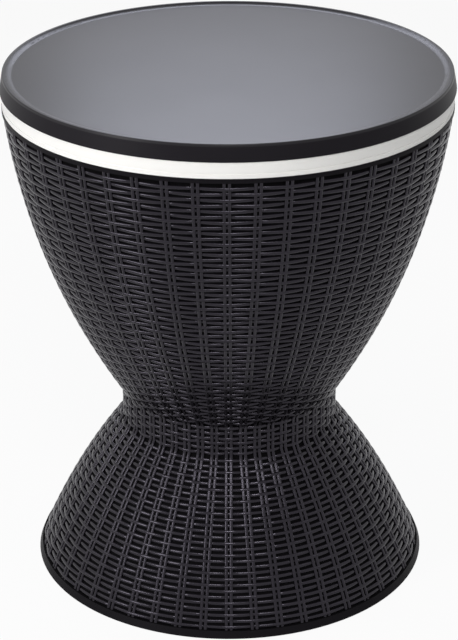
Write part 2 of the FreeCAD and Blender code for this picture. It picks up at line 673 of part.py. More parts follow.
def stop_ring():
    """Collar on the pole above the lock bush; under the guide bush it ends the lift."""
    bore = POLE_RADIUS + SEAT_CLEARANCE
    return ring(bore, bore + STOP_RING_WALL, STOP_RING_TOP - STOP_RING_HEIGHT, STOP_RING_TOP)


def lock_cam():
    """Slightly eccentric ring at the pole's lower end, which wedges the lock bush when it turns."""
    outside = disc(POLE_RADIUS + LOCK_CAM_WALL, POLE_FOOT, LOCK_CAM_TOP, Vector(LOCK_CAM_OFFSET, 0, 0))
    return outside.cut(disc(POLE_RADIUS + SEAT_CLEARANCE, POLE_FOOT, LOCK_CAM_TOP))


def pole_end_cap():
    """Cap that closes the pole's lower end."""
    spigot = POLE_RADIUS - POLE_WALL - SEAT_CLEARANCE
    flange = ring(0.0, POLE_RADIUS, POLE_END, POLE_FOOT)
    return flange.fuse(ring(spigot - POLE_CAP_SPIGOT_WALL, spigot, POLE_FOOT, POLE_FOOT + POLE_CAP_SPIGOT))


# Tabletop

def tabletop_hub():
    """Socket for the pole, closed at the top, with a flange under the tabletop."""
    bore = POLE_RADIUS + SEAT_CLEARANCE
    roof = POLE_TOP + HUB_ROOF
    hub = turned(path(
        at(bore, HUB_FOOT), at(HUB_RADIUS, HUB_FOOT), at(HUB_RADIUS, HUB_FLANGE_LEVEL),
        at(HUB_FLANGE_RADIUS, HUB_FLANGE_LEVEL), at(HUB_FLANGE_RADIUS, TABLETOP_LEVEL),
        at(HUB_RADIUS, TABLETOP_LEVEL), at(HUB_RADIUS, roof), at(0, roof), at(0, POLE_TOP),
        at(bore, POLE_TOP), at(bore, HUB_FOOT)))
    holes = passing_holes(HUB_SCREW_COUNT, HUB_SCREW_CIRCLE, HUB_FLANGE_LEVEL, TABLETOP_LEVEL)
    return hub.cut(holes + [hub_pin_hole()])


def hub_pin():
    """Cross pin through hub and pole."""
    return Part.makeCylinder(HUB_PIN_RADIUS, 2 * HUB_RADIUS, Vector(-HUB_RADIUS, 0, HUB_PIN_LEVEL),
                             Vector(1, 0, 0))


def hub_screws():
    """Screws up through the hub's flange into the underside."""
    tip = SKIN_UNDERSIDE - SCREW_TIP_GAP
    return Part.makeCompound(around(screw(HUB_FLANGE_LEVEL, tip, HUB_SCREW_CIRCLE), HUB_SCREW_COUNT))


def side_radius(height):
    """Radius of the tabletop's side band at a height."""
    return TABLETOP_RADIUS - TABLETOP_DRAFT * (height - TABLETOP_LEVEL) / TABLETOP_HEIGHT


def tabletop_skin():
    """Upper moulding: side band, rounded edge, lip that slopes down to a shallow tray, screw bosses."""
    shoulder = TOP_LEVEL - TABLETOP_EDGE_ROUND
    crest_outer = side_radius(shoulder) - TABLETOP_EDGE_ROUND
    crest_inner = crest_outer - TRAY_LIP_TOP_WIDTH
    tray_edge = crest_inner - TRAY_LIP_SLOPE_WIDTH
    slope_middle = at((crest_inner + tray_edge) / 2, TRAY_LEVEL + TRAY_DEPTH * TRAY_LIP_SLOPE_SHARE)
    outline = path(at(side_radius(UNDERSIDE_TOP) - TABLETOP_WALL, UNDERSIDE_TOP),
                   at(side_radius(UNDERSIDE_TOP), UNDERSIDE_TOP), at(side_radius(shoulder), shoulder))
    outline += corner_arc(at(crest_outer, shoulder), TABLETOP_EDGE_ROUND, 0, 90)
    outline += path(at(crest_outer, TOP_LEVEL), at(crest_inner, TOP_LEVEL))
    outline += arc(at(crest_inner, TOP_LEVEL), slope_middle, at(tray_edge, TRAY_LEVEL))
    outline += path(at(tray_edge, TRAY_LEVEL), at(0, TRAY_LEVEL), at(0, SKIN_UNDERSIDE),
                    at(side_radius(SKIN_UNDERSIDE) - TABLETOP_WALL, SKIN_UNDERSIDE),
                    at(side_radius(UNDERSIDE_TOP) - TABLETOP_WALL, UNDERSIDE_TOP))
    first = half_pitch(UNDERSIDE_RIB_COUNT)
    bosses = screw_bosses(UNDERSIDE_RIB_COUNT, TOP_SCREW_CIRCLE, UNDERSIDE_TOP, TRAY_LEVEL, first)
    pilots = pilot_holes(UNDERSIDE_RIB_COUNT, TOP_SCREW_CIRCLE, UNDERSIDE_TOP, SKIN_UNDERSIDE, first)
    return turned(outline).multiFuse(bosses).cut(pilots)


def tabletop_underside():
    """Lower moulding: plate on the tub's rim and under the skin, ribs, and a ring that centres the lid."""
    hub_hole = HUB_RADIUS + HOLE_CLEARANCE
    plate = turned(path(
        at(hub_hole, TABLETOP_LEVEL), at(TABLETOP_RADIUS, TABLETOP_LEVEL),
        at(side_radius(UNDERSIDE_TOP), UNDERSIDE_TOP), at(hub_hole, UNDERSIDE_TOP),
        at(hub_hole, TABLETOP_LEVEL)))
    hoop_radii = [HUB_FLANGE_RADIUS + step * UNDERSIDE_HOOP_STEP for step in range(UNDERSIDE_HOOP_COUNT + 1)]
    hoops = [ring(radius, radius + UNDERSIDE_RIB_THICKNESS, TABLETOP_LEVEL, SKIN_UNDERSIDE)
             for radius in hoop_radii]
    rib_end = side_radius(SKIN_UNDERSIDE) - TABLETOP_WALL - HOLE_CLEARANCE
    rib = block(rib_end - HUB_FLANGE_RADIUS, UNDERSIDE_RIB_THICKNESS, TABLETOP_LEVEL, SKIN_UNDERSIDE,
                HUB_FLANGE_RADIUS)
    centring = ring(CENTRING_RING_RADIUS - CENTRING_RING_WALL, CENTRING_RING_RADIUS, CENTRING_RING_FOOT,
                    UNDERSIDE_TOP)
    bosses = screw_bosses(HUB_SCREW_COUNT, HUB_SCREW_CIRCLE, TABLETOP_LEVEL, SKIN_UNDERSIDE)
    shape = plate.multiFuse(hoops + around(rib, UNDERSIDE_RIB_COUNT) + [centring] + bosses)
    hub_pilots = pilot_holes(HUB_SCREW_COUNT, HUB_SCREW_CIRCLE, TABLETOP_LEVEL, SKIN_UNDERSIDE)
    skin_holes = passing_holes(UNDERSIDE_RIB_COUNT, TOP_SCREW_CIRCLE, TABLETOP_LEVEL, UNDERSIDE_TOP,
                               half_pitch(UNDERSIDE_RIB_COUNT))
    return shape.cut(hub_pilots + skin_holes)


def tabletop_screws():
    """Screws up through the underside into the skin's bosses."""
    tip = SKIN_UNDERSIDE - SCREW_TIP_GAP
    piece = screw(TABLETOP_LEVEL, tip, TOP_SCREW_CIRCLE)
    return Part.makeCompound(around(piece, UNDERSIDE_RIB_COUNT, half_pitch(UNDERSIDE_RIB_COUNT)))


# Drain

def drain_spout():
    """Flanged pipe through the walls of bowl and tub."""
    inner_end = TUB_INSET + DRAIN_PAD_THICKNESS + GASKET_THICKNESS + DRAIN_NUT_HEIGHT + DRAIN_PIPE_TAIL
    flange_top = DRAIN_BOSS_PROUD + DRAIN_FLANGE_THICKNESS
    return on_drain(turned(path(
        at(DRAIN_BORE_RADIUS, -inner_end), at(DRAIN_PIPE_RADIUS, -inner_end),
        at(DRAIN_PIPE_RADIUS, DRAIN_BOSS_PROUD), at(DRAIN_FLANGE_RADIUS, DRAIN_BOSS_PROUD),
        at(DRAIN_FLANGE_RADIUS, flange_top), at(DRAIN_BORE_RADIUS, flange_top),
        at(DRAIN_BORE_RADIUS, -inner_end))))


def drain_gasket():
    """Seal between the tub's drain pad and the nut."""
    seat = -TUB_INSET - DRAIN_PAD_THICKNESS
    inner = DRAIN_PIPE_RADIUS + SEAT_CLEARANCE
    return on_drain(ring(inner, DRAIN_NUT_WIDTH / 2, seat - GASKET_THICKNESS, seat))


def drain_nut():
    """Six-sided nut on the pipe's inner end."""
    top = -TUB_INSET - DRAIN_PAD_THICKNESS - GASKET_THICKNESS
    turn = 2 * math.pi / DRAIN_NUT_SIDES
    corner = DRAIN_NUT_WIDTH / 2 / math.cos(turn / 2)
    corners = [Vector(corner * math.cos(side * turn), corner * math.sin(side * turn), top)
               for side in range(DRAIN_NUT_SIDES + 1)]
    body = Part.Face(Part.makePolygon(corners)).extrude(Vector(0, 0, -DRAIN_NUT_HEIGHT))
    return on_drain(body.cut(disc(DRAIN_PIPE_RADIUS + SEAT_CLEARANCE, top - DRAIN_NUT_HEIGHT, top)))


def drain_plug():
    """Plug with a stem in the pipe, a round head and a flat grip to pull it by."""
    seal_top = DRAIN_BOSS_PROUD + DRAIN_FLANGE_THICKNESS + PLUG_SEAL_THICKNESS
    head_top = seal_top + PLUG_HEAD_THICKNESS
    stem = disc(DRAIN_BORE_RADIUS - SLIDE_CLEARANCE, seal_top - PLUG_STEM_LENGTH, seal_top)
    head = disc(PLUG_HEAD_RADIUS, seal_top, head_top)
    return on_drain(stem.multiFuse([head, plug_grip(head_top)]))


def plug_grip(foot):
    """Flat grip on the plug's head, round at its upper corners."""
    corner = PLUG_GRIP_HEIGHT / 2
    half = PLUG_GRIP_WIDTH / 2
    top = foot + PLUG_GRIP_HEIGHT
    outline = path(at(-half, top - corner), at(-half, foot), at(half, foot), at(half, top - corner))
    outline += corner_arc(at(half - corner, top - corner), corner, 0, 90)
    outline += path(at(half - corner, top), at(corner - half, top))
    outline += corner_arc(at(corner - half, top - corner), corner, 90, 180)
    face = Part.Face(Part.Wire(outline))
    face.translate(Vector(0, -PLUG_GRIP_THICKNESS / 2, 0))
    return face.extrude(Vector(0, PLUG_GRIP_THICKNESS, 0))


def drain_plug_seal():
    """Flat seal ring around the plug's stem, under its head."""
    bottom = DRAIN_BOSS_PROUD + DRAIN_FLANGE_THICKNESS
    inner = DRAIN_BORE_RADIUS - SLIDE_CLEARANCE + SEAT_CLEARANCE
    return on_drain(ring(inner, inner + PLUG_SEAL_WIDTH, bottom, bottom + PLUG_SEAL_THICKNESS))


PIECES = (
    base_shell, base_weave, waist_screws, bowl_shell, bowl_weave, outer_tube, tube_pin, guide_bush,
    cooler_liner, column_sleeve, sleeve_collar, sleeve_gasket, sleeve_nut,
    drain_spout, drain_gasket, drain_nut, lock_bush, inner_pole, stop_ring, lock_cam, pole_end_cap,
    tabletop_hub, hub_pin, hub_screws, tabletop_underside, tabletop_screws, tabletop_skin,
    drain_plug, drain_plug_seal,
)


def main():
    os.makedirs("parts", exist_ok=True)
    for piece in PIECES:
        shape = piece().removeSplitter()
        box = shape.optimalBoundingBox(False, False)
        print(piece.__name__, "valid" if shape.isValid() else "NOT VALID", len(shape.Solids),
              f"{shape.Volume / 1000:.1f} cm3", f"z {box.ZMin:.1f} to {box.ZMax:.1f}")
        shape.exportStep(f"parts/{piece.__name__}.step")


main()
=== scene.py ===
# %% [markdown]
# Cooler table with lid.
# The real table is moulded resin: an hourglass stand with a wicker pattern, a white tub
# hanging in its bowl, and a tray-shaped top that is also the tub's lid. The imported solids
# carry the structure. This lesson adds what the eye sees: the woven relief, the smooth
# turned edges, the surfaces and the light.

# %% Load the frame
import json
import math
import bpy
import numpy as np
from mathutils import Matrix, Vector


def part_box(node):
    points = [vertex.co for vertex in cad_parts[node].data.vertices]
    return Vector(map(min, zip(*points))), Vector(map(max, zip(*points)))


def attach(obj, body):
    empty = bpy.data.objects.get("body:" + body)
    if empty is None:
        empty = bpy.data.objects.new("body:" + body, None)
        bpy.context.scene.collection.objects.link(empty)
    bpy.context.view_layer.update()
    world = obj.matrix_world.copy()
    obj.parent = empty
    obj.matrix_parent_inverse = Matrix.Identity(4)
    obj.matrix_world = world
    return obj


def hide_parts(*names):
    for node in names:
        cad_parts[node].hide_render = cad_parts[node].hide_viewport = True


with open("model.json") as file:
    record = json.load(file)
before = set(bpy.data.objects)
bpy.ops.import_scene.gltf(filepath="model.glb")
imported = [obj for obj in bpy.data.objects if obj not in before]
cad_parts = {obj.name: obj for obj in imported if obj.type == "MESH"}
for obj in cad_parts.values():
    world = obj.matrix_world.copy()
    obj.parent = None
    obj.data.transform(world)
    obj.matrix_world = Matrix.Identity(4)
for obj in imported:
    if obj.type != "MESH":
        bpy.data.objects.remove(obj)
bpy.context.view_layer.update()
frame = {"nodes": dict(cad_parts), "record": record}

# %% [markdown]
# The camera comes first, because everything else is judged through it.
# Its place was found by fitting a camera to the table's round edges: about 2.4 m in front
# of the table and 1.37 m up, looking down with a long lens, and turned by a hair.

# %% Camera
CAMERA_PLACE = (0.0, -2.38496, 1.37444)
CAMERA_PITCH = 0.4292
CAMERA_ROLL = -0.0039
LENS = 129.80
SENSOR = 36.0


def add_camera():
    data = bpy.data.cameras.new("camera")
    data.lens = LENS
    data.sensor_width = SENSOR
    data.sensor_fit = "AUTO"
    camera = bpy.data.objects.new("camera", data)
    bpy.context.collection.objects.link(camera)
    tilt = Matrix.Rotation(math.pi / 2 - CAMERA_PITCH, 4, "X")
    roll = Matrix.Rotation(CAMERA_ROLL, 4, "Z")
    camera.matrix_world = Matrix.Translation(CAMERA_PLACE) @ tilt @ roll
    bpy.context.scene.camera = camera
    print("camera at", CAMERA_PLACE, "looking down by", round(math.degrees(CAMERA_PITCH), 1), "degrees")


add_camera()
bpy.context.scene.view_settings.view_transform = "Standard"

# %% [markdown]
# The stand's outside is one curve in section: an upright band at the waist, then a small
# hollow arc that runs on into a long swelling arc, once down to the foot and once up to the
# rim. A curve drawn by hand would do for the eye, but the weave has to lie on the solids to
# a fraction of a millimetre, so the same arcs are worked out here. The heights are read from
# the frame. The curve gives the radius, the lean and the length of the way along the wall.

# %% Shape of the stand's wall
MM = 0.001
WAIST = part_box("bowl_shell")[0][2]
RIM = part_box("bowl_shell")[1][2]
FOOT_BAND_TOP = 8.0 * MM
RIM_BAND_FOOT = RIM - 5.0 * MM
FOOT_RADIUS = 223.4 * MM
RIM_RADIUS = 246.0 * MM
WAIST_RADIUS = 119.0 * MM
BAND_RADIUS = WAIST_RADIUS + 3.8 * MM
BASE_HOLLOW_RADIUS = 35.3 * MM
BOWL_HOLLOW_RADIUS = 43.0 * MM
BASE_SWELL = math.radians(7.9)
BOWL_SWELL = math.radians(13.2)
WAY_STEPS = 2000


class Wall:
    """Outside of the base or bowl in section, with distances counted away from the waist."""

    def __init__(self, end_radius, rise, hollow, swell):
        """Joins the two arcs with no corner. The swell is half of what the long arc turns by."""
        self.sign = math.copysign(1.0, rise)
        self.hollow = hollow
        self.hollow_centre = WAIST_RADIUS + hollow
        self.band = math.sqrt(hollow ** 2 - (self.hollow_centre - BAND_RADIUS) ** 2)
        across = end_radius - self.hollow_centre
        chord = math.atan2(across, abs(rise))
        chord += math.asin(hollow * math.cos(swell) / math.hypot(across, rise))
        self.turn = chord + swell
        join_radius = self.hollow_centre - hollow * math.cos(self.turn)
        self.join = hollow * math.sin(self.turn)
        span = math.hypot(end_radius - join_radius, abs(rise) - self.join)
        self.swell = span / (2 * math.sin(swell))
        self.centre_radius = join_radius - self.swell * math.cos(self.turn)
        self.centre_distance = self.join + self.swell * math.sin(self.turn)

    def radius(self, height):
        away = self.sign * (height - WAIST)
        if away < self.band:
            return BAND_RADIUS
        if away < self.join:
            return self.hollow_centre - math.sqrt(self.hollow ** 2 - away ** 2)
        return self.centre_radius + math.sqrt(self.swell ** 2 - (away - self.centre_distance) ** 2)

    def lean(self, height):
        """Angle of the wall from upright, positive where it widens upwards."""
        away = self.sign * (height - WAIST)
        if away < self.band:
            return 0.0
        if away < self.join:
            return self.sign * math.asin(away / self.hollow)
        return self.sign * math.asin((self.centre_distance - away) / self.swell)

    def heights(self, low, high, pitch, first):
        """Heights at equal steps along the wall, the first one a given way above the low end."""
        fine = np.linspace(low, high, WAY_STEPS)
        radii = np.array([self.radius(height) for height in fine])
        way = np.concatenate([[0.0], np.cumsum(np.hypot(np.diff(fine), np.diff(radii)))])
        return np.interp(np.arange(first, way[-1] - first / 2, pitch), way, fine)


BASE_WALL = Wall(FOOT_RADIUS, -WAIST, BASE_HOLLOW_RADIUS, BASE_SWELL)
BOWL_WALL = Wall(RIM_RADIUS, RIM - WAIST, BOWL_HOLLOW_RADIUS, BOWL_SWELL)
print("waist at", round(WAIST, 4), "rim at", round(RIM, 4))

# %% [markdown]
# The surfaces are node materials. Nodes can be wired one link at a time, but then a reader
# can't see the sum for the links, so they are written as small expressions. A wrapped socket
# knows how to add, subtract, multiply and compare, and each sign adds one Math node.

# %% Numbers in the nodes
class Signal:
    """A number that runs through the nodes."""

    def __init__(self, finish, socket):
        self.finish = finish
        self.socket = socket

    def combine(self, operation, first, second):
        settings = {"operation": operation}
        return self.finish.node("ShaderNodeMath", settings, {0: first, 1: second})

    def __add__(self, other):
        return self.combine("ADD", self, other)

    __radd__ = __add__

    def __sub__(self, other):
        return self.combine("SUBTRACT", self, other)

    def __rsub__(self, other):
        return self.combine("SUBTRACT", other, self)

    def __mul__(self, other):
        return self.combine("MULTIPLY", self, other)

    __rmul__ = __mul__

    def __lt__(self, other):
        return self.combine("LESS_THAN", self, other)

    def __gt__(self, other):
        return self.combine("GREATER_THAN", self, other)


# %% [markdown]
# Every other node comes from one method, which takes the node's type, its settings and its
# inputs. Patterns follow the object's own coordinates, so they need no unwrapping and keep
# their size in millimetres on every piece.

# %% A material
class Finish:
    """One material: a Principled shader with constants, and a few inputs that are driven."""

    def __init__(self, name, **constants):
        self.material = bpy.data.materials.new(name)
        self.material.use_nodes = True
        self.tree = self.material.node_tree
        self.shader = self.tree.nodes["Principled BSDF"]
        for key, value in constants.items():
            self.shader.inputs[key.replace("_", " ")].default_value = value

    def node(self, kind, settings=None, inputs=None, output=0):
        """Adds a node: settings first, then the values or links of its sockets."""
        node = self.tree.nodes.new(kind)
        for key, value in (settings or {}).items():
            setattr(node, key, value)
        for key, value in (inputs or {}).items():
            if isinstance(value, Signal):
                self.tree.links.new(value.socket, node.inputs[key])
            else:
                node.inputs[key].default_value = value
        return Signal(self, node.outputs[output])

    def place(self):
        """Object coordinates, in metres."""
        return self.node("ShaderNodeTexCoord", output="Object")

    def height(self):
        """Height above the floor, in metres."""
        return self.node("ShaderNodeSeparateXYZ", None, {"Vector": self.place()}, output="Z")

    def noise(self, scale, detail=3.0):
        inputs = {"Vector": self.place(), "Scale": scale, "Detail": detail}
        return self.node("ShaderNodeTexNoise", None, inputs)

    def seen_directly(self):
        """1 for rays from the camera, and for reflected and refracted ones, else 0."""
        camera, glossy, clear = (self.node("ShaderNodeLightPath", output=f"Is {kind} Ray")
                                 for kind in ("Camera", "Glossy", "Transmission"))
        return camera + glossy + clear

    def mix_colour(self, factor, first, second):
        inputs = {0: factor, 6: first, 7: second}
        return self.node("ShaderNodeMix", {"data_type": "RGBA"}, inputs, output=2)

    def bump(self, height, distance):
        return self.node("ShaderNodeBump", None, {"Height": height, "Distance": distance})

    def drive(self, name, signal):
        self.tree.links.new(signal.socket, self.shader.inputs[name])


def grey(level, tint=(1.0, 1.0, 1.0)):
    return tuple(level * part for part in tint) + (1.0,)


# %% [markdown]
# The stand's resin is black with a soft sheen. Mould marks and handling leave its gloss a
# little uneven, and a very fine grain breaks up the highlights on the strands. Both are
# noise: a wide one in the colour and roughness, a fine one in the roughness and the bump.

# %% Black stand resin
PLUM = (1.06, 0.92, 1.2)
PLUM_SHEEN = grey(1.0, (0.89, 0.83, 1.0))
PATCH_SCALE = 28.0


def make_stand_resin():
    finish = Finish("stand_resin", Specular_IOR_Level=0.29, Specular_Tint=PLUM_SHEEN)
    patches = finish.noise(scale=PATCH_SCALE)
    grain = finish.noise(scale=900.0, detail=2.0)
    colour = finish.mix_colour(patches, grey(0.005, PLUM), grey(0.010, PLUM))
    finish.drive("Base Color", colour)
    finish.drive("Roughness", 0.12 + 0.12 * patches + 0.04 * grain)
    finish.drive("Normal", finish.bump(grain, distance=0.04 * MM))
    return finish.material


STAND_RESIN = make_stand_resin()
print("made", STAND_RESIN.name)

# %% [markdown]
# The solids of the base and bowl are the ground behind the weave. Little light reaches it, so its
# colour there is painted nearly black: painted shade for the deep gaps between the strands, on the same
# resin. Their plain bands, at the foot and under the white rim, show the resin itself. Two materials
# would need faces told apart, and the solids' meshes stay as they are, so one material tells ground and
# band apart by the height.

# %% Ground behind the weave
def make_ground_shade_and_band():
    finish = Finish("ground_shade_and_band", Specular_IOR_Level=0.05)
    height = finish.height()
    band = (height < FOOT_BAND_TOP) + (height > RIM_BAND_FOOT)
    patches = finish.noise(scale=PATCH_SCALE)
    # Painted shade: the ground between the strands is nearly black, and the bands keep the resin's own
    # colour.
    colour = finish.mix_colour(band, grey(0.0015, PLUM), grey(0.006, PLUM))
    finish.drive("Base Color", colour)
    finish.drive("Roughness", 0.75 - 0.35 * band + 0.08 * patches)
    return finish.material


GROUND_SHADE_AND_BAND = make_ground_shade_and_band()
print("made", GROUND_SHADE_AND_BAND.name)

# %% [markdown]
# The top is black resin too. Its side band is plain, while the tray is moulded with a very
# fine grain and a satin face: at a low angle it mirrors the bright room and looks grey.
# That face is a coat, and the height shows where the tray begins.

# %% Satin top resin
TRAY_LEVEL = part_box("tabletop_skin")[1][2] - 2.7 * MM
TRAY_SHEEN = 0.3


def make_top_resin():
    finish = Finish("top_resin", Specular_IOR_Level=0.08, Coat_Roughness=0.3)
    tray = finish.height() > TRAY_LEVEL
    patches = finish.noise(scale=9.0, detail=2.0)
    grain = finish.noise(scale=1400.0, detail=2.0)
    colour = finish.mix_colour(patches, grey(0.007, PLUM), grey(0.010, PLUM))
    finish.drive("Base Color", colour)
    finish.drive("Roughness", 0.40 + 0.06 * patches)
    finish.drive("Coat Weight", TRAY_SHEEN * tray)
    finish.drive("Normal", finish.bump(grain, distance=0.03 * MM))
    return finish.material


TOP_RESIN = make_top_resin()
print("made", TOP_RESIN.name, "with a satin tray above", round(TRAY_LEVEL, 4))

# %% [markdown]
# The tub is smooth white resin. Its gloss is a little uneven, as on any large moulding, and
# its white is a warm one. A single white would look like paper beside the floor.

# %% White tub resin
def make_tub_resin():
    finish = Finish("tub_resin", Specular_IOR_Level=0.5)
    patches = finish.noise(scale=14.0, detail=2.0)
    colour = finish.mix_colour(patches, grey(0.86, (1, 0.99, 0.96)), grey(0.90, (1, 0.99, 0.965)))
    finish.drive("Base Color", colour)
    finish.drive("Roughness", 0.32 + 0.08 * patches)
    return finish.material


TUB_RESIN = make_tub_resin()
print("made", TUB_RESIN.name)

# %% [markdown]
# The column, hub and drain are plain dark mouldings, the seals are matt rubber, and the
# screws and pins are brushed steel. They are seen only when the top is up or from behind, so
# noise with a fine scale does for their grain, and one dark resin serves two slots.

# %% Finishes of the hidden pieces
def make_plain_resin():
    finish = Finish("plain_resin", Specular_IOR_Level=0.5)
    patches = finish.noise(scale=20.0)
    grain = finish.noise(scale=1200.0, detail=2.0)
    finish.drive("Base Color", finish.mix_colour(patches, grey(0.020), grey(0.030)))
    finish.drive("Roughness", 0.38 + 0.10 * grain)
    finish.drive("Normal", finish.bump(grain, distance=0.03 * MM))
    return finish.material


def make_rubber():
    finish = Finish("seal_rubber")
    grain = finish.noise(scale=600.0)
    finish.drive("Base Color", finish.mix_colour(grain, grey(0.012), grey(0.022)))
    finish.drive("Roughness", 0.72 + 0.12 * grain)
    return finish.material


def make_steel():
    finish = Finish("fastener_steel", Metallic=1.0)
    scratches = finish.noise(scale=1500.0, detail=4.0)
    finish.drive("Base Color", finish.mix_colour(scratches, grey(0.45), grey(0.62)))
    finish.drive("Roughness", 0.25 + 0.2 * scratches)
    return finish.material


PLAIN_RESIN = make_plain_resin()
SLOT_FINISHES = {
    "stand_plastic": STAND_RESIN,
    "tub_plastic": TUB_RESIN,
    "column_plastic": PLAIN_RESIN,
    "drain_plastic": PLAIN_RESIN,
    "tabletop_plastic": TOP_RESIN,
    "seal_rubber": make_rubber(),
    "fastener_steel": make_steel(),
}

for part in frame["record"]["subparts"]:
    solid = frame["nodes"][part["node"]]
    solid.material_slots[0].material = SLOT_FINISHES[part["material_slot"]]
for name in ("base_shell", "bowl_shell"):
    frame["nodes"][name].material_slots[0].material = GROUND_SHADE_AND_BAND

# %% [markdown]
# The solids of the wicker pattern have its main lines only, so full weave stands for them
# here. Its stakes are thin round ribs that follow the wall from foot to waist, or from waist
# to rim. A bump could draw them, but not their outline against the white, so they are real.
# One stake at the front is made by extruding a small flattened circle along the wall.

# %% One stake
STAKE_WIDTH = 3.5 * MM
STAKE_DEPTH = 2.1 * MM
STAKE_CREST = 0.3 * MM
STAKE_SIDES = 8


def make_stake(name, wall, low, high, steps):
    """One stake at the front, its crest a little behind the weave's outside."""
    heights = np.linspace(low, high, steps)
    crests = [wall.radius(height) - STAKE_CREST / math.cos(wall.lean(height))
              for height in heights]
    bpy.ops.object.select_all(action="DESELECT")
    bpy.ops.mesh.primitive_circle_add(vertices=STAKE_SIDES, radius=0.5, fill_type="NGON")
    stake = bpy.context.object
    stake.name = name
    bpy.ops.object.mode_set(mode="EDIT")
    bpy.ops.mesh.select_all(action="SELECT")
    bpy.ops.transform.resize(value=(STAKE_WIDTH, STAKE_DEPTH, 1.0))
    bpy.ops.transform.translate(value=(0.0, STAKE_DEPTH / 2 - crests[0], heights[0]))
    for index in range(1, steps):
        step = (0.0, crests[index - 1] - crests[index], heights[index] - heights[index - 1])
        bpy.ops.mesh.extrude_region_move(TRANSFORM_OT_translate={"value": step})
    bpy.ops.mesh.select_all(action="SELECT")
    bpy.ops.mesh.normals_make_consistent(inside=False)
    bpy.ops.object.mode_set(mode="OBJECT")
    return stake


# %% [markdown]
# The drain's boss stands at the rear, low on the bowl, and the moulded pattern stops around
# it. Leaving whole stakes and strands out would leave too large a patch, so the ones that
# meet the boss are cut by a cylinder that looks along the drain.

# %% Cut for the drain
DRAIN_LEVEL = WAIST + 32.0 * MM
DRAIN_CUT_RADIUS = 14.0 * MM
DRAIN_CUT_DEPTH = 12.0 * MM


def cut_for_drain(piece):
    """Cuts a piece of the weave away where the drain's boss stands, at the rear."""
    lean = BOWL_WALL.lean(DRAIN_LEVEL)
    bpy.ops.object.select_all(action="DESELECT")
    bpy.ops.mesh.primitive_cylinder_add(
        vertices=48, radius=DRAIN_CUT_RADIUS, depth=2 * DRAIN_CUT_DEPTH,
        location=(0.0, BOWL_WALL.radius(DRAIN_LEVEL), DRAIN_LEVEL),
        rotation=(-math.pi / 2 - lean, 0.0, 0.0))
    cutter = bpy.context.object
    bpy.ops.object.select_all(action="DESELECT")
    piece.select_set(True)
    bpy.context.view_layer.objects.active = piece
    cut = piece.modifiers.new("drain", "BOOLEAN")
    cut.operation = "DIFFERENCE"
    cut.object = cutter
    bpy.ops.object.modifier_apply(modifier=cut.name)
    bpy.data.objects.remove(cutter)


print("drain cut at", round(DRAIN_LEVEL, 4), "and", round(2 * DRAIN_CUT_RADIUS, 4), "across")

# %% [markdown]
# The many pieces of the weave are joined into a few, each with its place applied, so that
# it sits at the origin as the solids do. Shading is smooth over soft bends only. What is
# joined rides on the stand and replaces the solid of its moulding's pattern.

# %% Joining and finishing
WEAVE_SMOOTH_ANGLE = 60


def join(name, pieces):
    """One object from several, with its place in its mesh."""
    bpy.ops.object.select_all(action="DESELECT")
    for piece in pieces:
        piece.select_set(True)
    bpy.context.view_layer.objects.active = pieces[0]
    if len(pieces) > 1:
        bpy.ops.object.join()
    bpy.ops.object.transform_apply(location=True, rotation=True, scale=True)
    joined = bpy.context.object
    joined.name = name
    joined.data.name = name
    return joined


def smooth(piece, angle):
    """Soft shading over bends up to an angle in degrees, sharper edges kept."""
    bpy.ops.object.select_all(action="DESELECT")
    piece.select_set(True)
    bpy.context.view_layer.objects.active = piece
    bpy.ops.object.shade_smooth_by_angle(angle=math.radians(angle))


def finish_weave(piece, node):
    """Finishes a piece of the weave, which stands for the solid of its moulding's pattern."""
    smooth(piece, WEAVE_SMOOTH_ANGLE)
    piece.data.materials.clear()
    piece.data.materials.append(STAND_RESIN)
    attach(piece, "stand")
    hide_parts(node)


# %% [markdown]
# The stakes stand in pairs, 48 pairs around. The stake at the front is copied to each place
# and turned to face outwards. An array modifier would be shorter, but the drain's cut needs
# the stakes one by one.

# %% Stakes in pairs
STAKE_PAIRS = 48
STAKE_TAIL = 1.0 * MM
PAIR_SPREAD = 5.3 * MM
PAIR_PITCH = 2 * math.pi / STAKE_PAIRS
FIRST_PAIR_TURN = math.radians(-0.4)
BASE_STAKE_STEPS = 26
BOWL_STAKE_STEPS = 44


def make_stakes(node, wall, low, high, steps):
    """All stakes of one moulding, in pairs."""
    name = node + "_stakes"
    stake = make_stake(name, wall, low, high, steps)
    copies = []
    for pair in range(STAKE_PAIRS):
        for side in (-1, 1):
            copy = stake.copy()
            copy.data = stake.data.copy()
            bpy.context.collection.objects.link(copy)
            turn = FIRST_PAIR_TURN + pair * PAIR_PITCH
            offset = side * PAIR_SPREAD / 2
            copy.location = (offset * math.cos(turn), offset * math.sin(turn), 0.0)
            copy.rotation_euler = (0.0, 0.0, turn)
            if low < DRAIN_LEVEL < high and pair == STAKE_PAIRS // 2:
                cut_for_drain(copy)
            copies.append(copy)
    bpy.data.objects.remove(stake)
    piece = join(name, copies)
    finish_weave(piece, node)
    print(name, len(piece.data.polygons), "faces")


make_stakes("base_weave", BASE_WALL, FOOT_BAND_TOP - STAKE_TAIL, WAIST, BASE_STAKE_STEPS)
make_stakes("bowl_weave", BOWL_WALL, WAIST, RIM_BAND_FOOT + STAKE_TAIL, BOWL_STAKE_STEPS)

# %% [markdown]
# An outline is drawn the way a person does with the mouse: a point is extruded from place to
# place in edit mode, then the outline is spun about the upright axis and its seam is closed.

# %% Drawing and spinning
def start_from_point(name, place):
    """New object with one vertex, left in edit mode: a plane merged to its middle."""
    bpy.ops.object.select_all(action="DESELECT")
    bpy.ops.mesh.primitive_plane_add(size=MM)
    piece = bpy.context.object
    piece.name = name
    piece.data.name = name
    bpy.ops.object.mode_set(mode="EDIT")
    bpy.ops.mesh.select_all(action="SELECT")
    bpy.ops.mesh.merge(type="CENTER")
    bpy.ops.transform.translate(value=place)
    return piece


